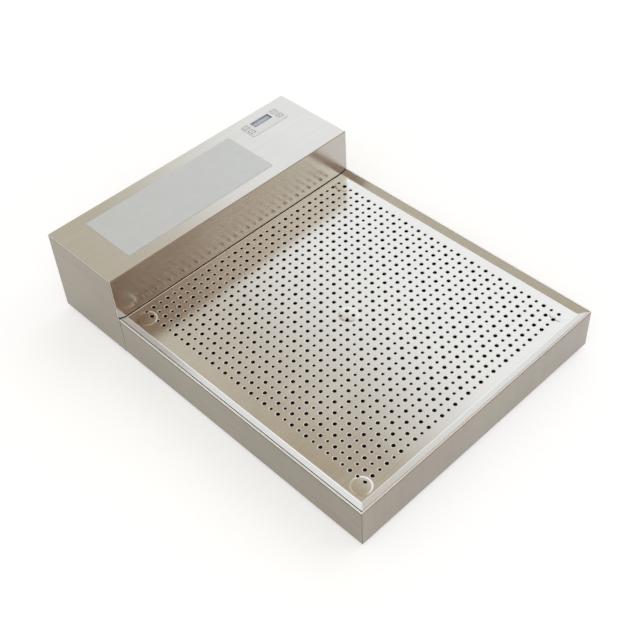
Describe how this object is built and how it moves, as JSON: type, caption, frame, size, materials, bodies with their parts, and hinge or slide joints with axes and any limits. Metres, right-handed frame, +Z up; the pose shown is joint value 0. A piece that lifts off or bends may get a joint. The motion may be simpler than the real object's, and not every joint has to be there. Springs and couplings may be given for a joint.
{
  "type": "glass and cutlery dryer",
  "caption": "Counter dryer for glassware and cutlery: a low steel tray with a lift-out perforated plate, in front of a taller blower housing with a keypad and display on top.",
  "frame": {"origin": "centre of the overall footprint, on the surface that the feet stand on", "axes": "+X to the user's right, +Y from the tray to the housing at the back, +Z up"},
  "size_m": [0.532, 0.7198, 0.1691],
  "materials": {
    "brushed_steel": "brushed",
    "plate_steel": "satin",
    "fastener_steel": "satin",
    "black_rubber": "matte",
    "grey_plastic": "matte",
    "black_plastic": "satin",
    "post_plastic": "matte",
    "motor_enamel": "satin",
    "heater_aluminium": "satin",
    "ceramic": "matte",
    "filter_foam": "matte",
    "overlay_film": "satin",
    "key_film": "satin",
    "lens_clear": "gloss",
    "display_dark": "satin",
    "board_green": "satin",
    "label_foil": "satin",
    "ribbon_grey": "matte"
  },
  "bodies": {
    "shell": {"tray_shell": "brushed_steel", "housing_cover": "brushed_steel", "end_panel_left": "brushed_steel", "end_panel_right": "brushed_steel", "base_plate": "brushed_steel", "rear_panel": "brushed_steel", "rear_screw_lower_left": "fastener_steel", "rear_screw_lower_right": "fastener_steel", "rear_screw_upper_left": "fastener_steel", "rear_screw_upper_right": "fastener_steel", "tray_bolt_left": "fastener_steel", "tray_bolt_right": "fastener_steel", "board_standoff_front_left": "fastener_steel", "board_standoff_front_right": "fastener_steel", "board_standoff_back_left": "fastener_steel", "board_standoff_back_right": "fastener_steel", "foot_front_left": "black_rubber", "foot_front_right": "black_rubber", "foot_middle_left": "black_rubber", "foot_middle_right": "black_rubber", "foot_back_left": "black_rubber", "foot_back_right": "black_rubber", "inlet_lead": "black_rubber", "motor_lead": "black_rubber", "duct_collar_left": "grey_plastic", "duct_collar_right": "grey_plastic", "scroll_casing_left": "grey_plastic", "scroll_casing_right": "grey_plastic", "inlet_ring_left": "grey_plastic", "inlet_ring_right": "grey_plastic", "mains_inlet": "black_plastic", "switch_bezel": "black_plastic", "plate_post_front_left": "post_plastic", "plate_post_front_right": "post_plastic", "plate_post_centre": "post_plastic", "plate_post_back_left": "post_plastic", "plate_post_back_right": "post_plastic", "terminal_block": "post_plastic", "fan_motor": "motor_enamel", "heater_block_left": "heater_aluminium", "heater_block_right": "heater_aluminium", "thermal_cutout": "ceramic", "intake_filter_left": "filter_foam", "intake_filter_right": "filter_foam", "keypad_overlay": "overlay_film", "display_lens": "lens_clear", "display_module": "display_dark", "control_board": "board_green", "power_board": "board_green", "label_plate": "label_foil", "panel_ribbon": "ribbon_grey"},
    "insert": {"perforated_plate": "plate_steel"},
    "rotor": {"fan_shaft": "fastener_steel", "blower_wheel_left": "black_plastic", "blower_wheel_right": "black_plastic"},
    "key_left_back": {"key_left_back": "key_film"},
    "key_left_front": {"key_left_front": "key_film"},
    "key_right_back": {"key_right_back": "key_film"},
    "key_right_front": {"key_right_front": "key_film"},
    "rocker": {"switch_rocker": "black_plastic"}
  },
  "joints": [
    {"name": "insert_lift", "type": "slide", "parent": "shell", "child": "insert", "axis": [0, 0, 1], "range_m": [0, 0.12]},
    {"name": "rotor_spin", "type": "hinge", "parent": "shell", "child": "rotor", "pos_m": [0, 0.2789, 0.0792], "axis": [1, 0, 0], "continuous": true},
    {"name": "key_left_back_press", "type": "slide", "parent": "shell", "child": "key_left_back", "axis": [0, 0, -1], "range_m": [0, 0.0004], "stiffness_N_per_m": 1500, "springref_m": -0.0004},
    {"name": "key_left_front_press", "type": "slide", "parent": "shell", "child": "key_left_front", "axis": [0, 0, -1], "range_m": [0, 0.0004], "stiffness_N_per_m": 1500, "springref_m": -0.0004},
    {"name": "key_right_back_press", "type": "slide", "parent": "shell", "child": "key_right_back", "axis": [0, 0, -1], "range_m": [0, 0.0004], "stiffness_N_per_m": 1500, "springref_m": -0.0004},
    {"name": "key_right_front_press", "type": "slide", "parent": "shell", "child": "key_right_front", "axis": [0, 0, -1], "range_m": [0, 0.0004], "stiffness_N_per_m": 1500, "springref_m": -0.0004},
    {"name": "rocker_tip", "type": "hinge", "parent": "shell", "child": "rocker", "pos_m": [0.172, 0.3554, 0.064], "axis": [1, 0, 0], "range_deg": [-14, 0]}
  ]
}
